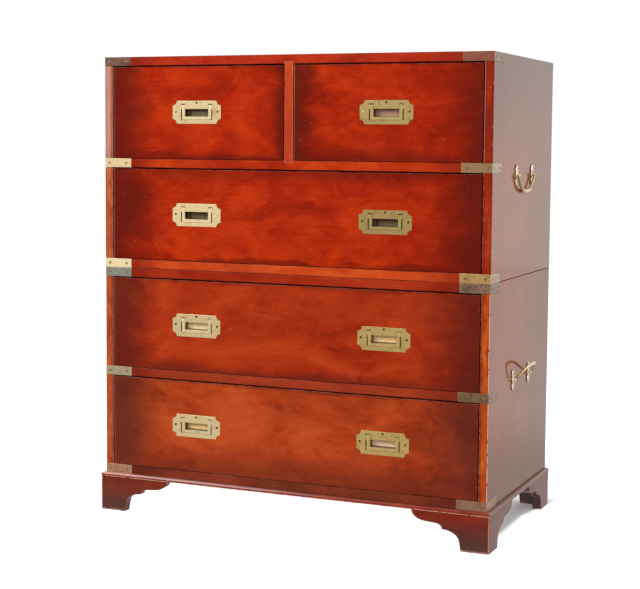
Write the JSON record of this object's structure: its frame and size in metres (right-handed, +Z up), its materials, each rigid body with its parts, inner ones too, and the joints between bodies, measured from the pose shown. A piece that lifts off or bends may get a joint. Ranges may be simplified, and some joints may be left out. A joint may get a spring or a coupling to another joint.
{
  "type": "campaign chest",
  "caption": "Two-part mahogany campaign chest of drawers with flush brass straps and handles, drop bail carrying handles and ogee bracket feet.",
  "frame": {"origin": "on the floor under the middle of the chest, plinth included", "axes": "+Z up, -Y is the drawer side, +X to the right of someone facing the drawers"},
  "size_m": [0.8536, 0.422, 0.9073],
  "materials": {
    "mahogany": "French-polished red mahogany, gloss, with light wear on the arrises",
    "dark_mahogany": "darker stained mahogany, satin polish; backs plain",
    "drawer_wood": "plain planed cedar drawer linings, unpolished",
    "brass": "old lacquered brass, tarnished in patches, brushed and scratched"
  },
  "bodies": {
    "lower_case": {"plinth": "dark_mahogany", "front_left_foot": "dark_mahogany", "back_left_foot": "dark_mahogany", "front_right_foot": "dark_mahogany", "back_right_foot": "dark_mahogany", "lower_left_side": "mahogany", "lower_right_side": "mahogany", "lower_bottom": "mahogany", "lower_rail": "mahogany", "lower_top": "mahogany", "lower_back": "dark_mahogany", "lower_bottom_left_strap": "brass", "lower_bottom_right_strap": "brass", "lower_rail_left_strap": "brass", "lower_rail_right_strap": "brass", "lower_top_left_strap": "brass", "lower_top_right_strap": "brass"},
    "upper_case": {"upper_left_side": "mahogany", "upper_right_side": "mahogany", "upper_bottom": "mahogany", "upper_rail": "mahogany", "upper_top": "mahogany", "upper_divider": "mahogany", "upper_back": "dark_mahogany", "upper_bottom_left_strap": "brass", "upper_bottom_right_strap": "brass", "upper_rail_left_strap": "brass", "upper_rail_right_strap": "brass", "upper_top_left_strap": "brass", "upper_top_right_strap": "brass"},
    "bottom_drawer": {"bottom_drawer_front": "mahogany", "bottom_drawer_box": "drawer_wood", "bottom_drawer_left_plate": "brass", "bottom_drawer_right_plate": "brass"},
    "bottom_drawer_left_bail_body": {"bottom_drawer_left_bail": "brass"},
    "bottom_drawer_right_bail_body": {"bottom_drawer_right_bail": "brass"},
    "third_drawer": {"third_drawer_front": "mahogany", "third_drawer_box": "drawer_wood", "third_drawer_left_plate": "brass", "third_drawer_right_plate": "brass"},
    "third_drawer_left_bail_body": {"third_drawer_left_bail": "brass"},
    "third_drawer_right_bail_body": {"third_drawer_right_bail": "brass"},
    "second_drawer": {"second_drawer_front": "mahogany", "second_drawer_box": "drawer_wood", "second_drawer_left_plate": "brass", "second_drawer_right_plate": "brass"},
    "second_drawer_left_bail_body": {"second_drawer_left_bail": "brass"},
    "second_drawer_right_bail_body": {"second_drawer_right_bail": "brass"},
    "top_left_drawer": {"top_left_drawer_front": "mahogany", "top_left_drawer_box": "drawer_wood", "top_left_drawer_plate": "brass"},
    "top_left_drawer_bail_body": {"top_left_drawer_bail": "brass"},
    "top_right_drawer": {"top_right_drawer_front": "mahogany", "top_right_drawer_box": "drawer_wood", "top_right_drawer_plate": "brass"},
    "top_right_drawer_bail_body": {"top_right_drawer_bail": "brass"},
    "lower_left_drop_bail_body": {"lower_left_drop_bail": "brass"},
    "lower_right_drop_bail_body": {"lower_right_drop_bail": "brass"},
    "upper_left_drop_bail_body": {"upper_left_drop_bail": "brass"},
    "upper_right_drop_bail_body": {"upper_right_drop_bail": "brass"}
  },
  "joints": [
    {"name": "upper_lift", "type": "slide", "parent": "lower_case", "child": "upper_case", "axis": [0, 0, 1], "range_m": [0, 0.25]},
    {"name": "bottom_drawer_slide", "type": "slide", "parent": "lower_case", "child": "bottom_drawer", "axis": [0, -1, 0], "range_m": [0, 0.34]},
    {"name": "bottom_drawer_left_bail_hinge", "type": "hinge", "parent": "bottom_drawer", "child": "bottom_drawer_left_bail_body", "pos_m": [-0.19587, -0.1992, 0.1966], "axis": [-1, 0, 0], "range_deg": [0, 90]},
    {"name": "bottom_drawer_right_bail_hinge", "type": "hinge", "parent": "bottom_drawer", "child": "bottom_drawer_right_bail_body", "pos_m": [0.19587, -0.1992, 0.1966], "axis": [-1, 0, 0], "range_deg": [0, 90]},
    {"name": "third_drawer_slide", "type": "slide", "parent": "lower_case", "child": "third_drawer", "axis": [0, -1, 0], "range_m": [0, 0.34]},
    {"name": "third_drawer_left_bail_hinge", "type": "hinge", "parent": "third_drawer", "child": "third_drawer_left_bail_body", "pos_m": [-0.19587, -0.1992, 0.3956], "axis": [-1, 0, 0], "range_deg": [0, 90]},
    {"name": "third_drawer_right_bail_hinge", "type": "hinge", "parent": "third_drawer", "child": "third_drawer_right_bail_body", "pos_m": [0.19587, -0.1992, 0.3929], "axis": [-1, 0, 0], "range_deg": [0, 90]},
    {"name": "second_drawer_slide", "type": "slide", "parent": "upper_case", "child": "second_drawer", "axis": [0, -1, 0], "range_m": [0, 0.34]},
    {"name": "second_drawer_left_bail_hinge", "type": "hinge", "parent": "second_drawer", "child": "second_drawer_left_bail_body", "pos_m": [-0.19587, -0.1992, 0.6124], "axis": [-1, 0, 0], "range_deg": [0, 90]},
    {"name": "second_drawer_right_bail_hinge", "type": "hinge", "parent": "second_drawer", "child": "second_drawer_right_bail_body", "pos_m": [0.19587, -0.1992, 0.6097], "axis": [-1, 0, 0], "range_deg": [0, 90]},
    {"name": "top_left_drawer_slide", "type": "slide", "parent": "upper_case", "child": "top_left_drawer", "axis": [0, -1, 0], "range_m": [0, 0.34]},
    {"name": "top_left_drawer_bail_hinge", "type": "hinge", "parent": "top_left_drawer", "child": "top_left_drawer_bail_body", "pos_m": [-0.19587, -0.1992, 0.8114], "axis": [-1, 0, 0], "range_deg": [0, 90]},
    {"name": "top_right_drawer_slide", "type": "slide", "parent": "upper_case", "child": "top_right_drawer", "axis": [0, -1, 0], "range_m": [0, 0.34]},
    {"name": "top_right_drawer_bail_hinge", "type": "hinge", "parent": "top_right_drawer", "child": "top_right_drawer_bail_body", "pos_m": [0.19587, -0.1992, 0.8114], "axis": [-1, 0, 0], "range_deg": [0, 90]},
    {"name": "lower_left_drop_bail_hinge", "type": "hinge", "parent": "lower_case", "child": "lower_left_drop_bail_body", "pos_m": [-0.4056, 0.004, 0.29675], "axis": [0, 1, 0], "range_deg": [-145, 25]},
    {"name": "lower_right_drop_bail_hinge", "type": "hinge", "parent": "lower_case", "child": "lower_right_drop_bail_body", "pos_m": [0.4056, 0.004, 0.29675], "axis": [0, -1, 0], "range_deg": [-145, 25]},
    {"name": "upper_left_drop_bail_hinge", "type": "hinge", "parent": "upper_case", "child": "upper_left_drop_bail_body", "pos_m": [-0.4056, 0.004, 0.68455], "axis": [0, 1, 0], "range_deg": [0, 170]},
    {"name": "upper_right_drop_bail_hinge", "type": "hinge", "parent": "upper_case", "child": "upper_right_drop_bail_body", "pos_m": [0.4056, 0.004, 0.68455], "axis": [0, -1, 0], "range_deg": [0, 170]}
  ]
}
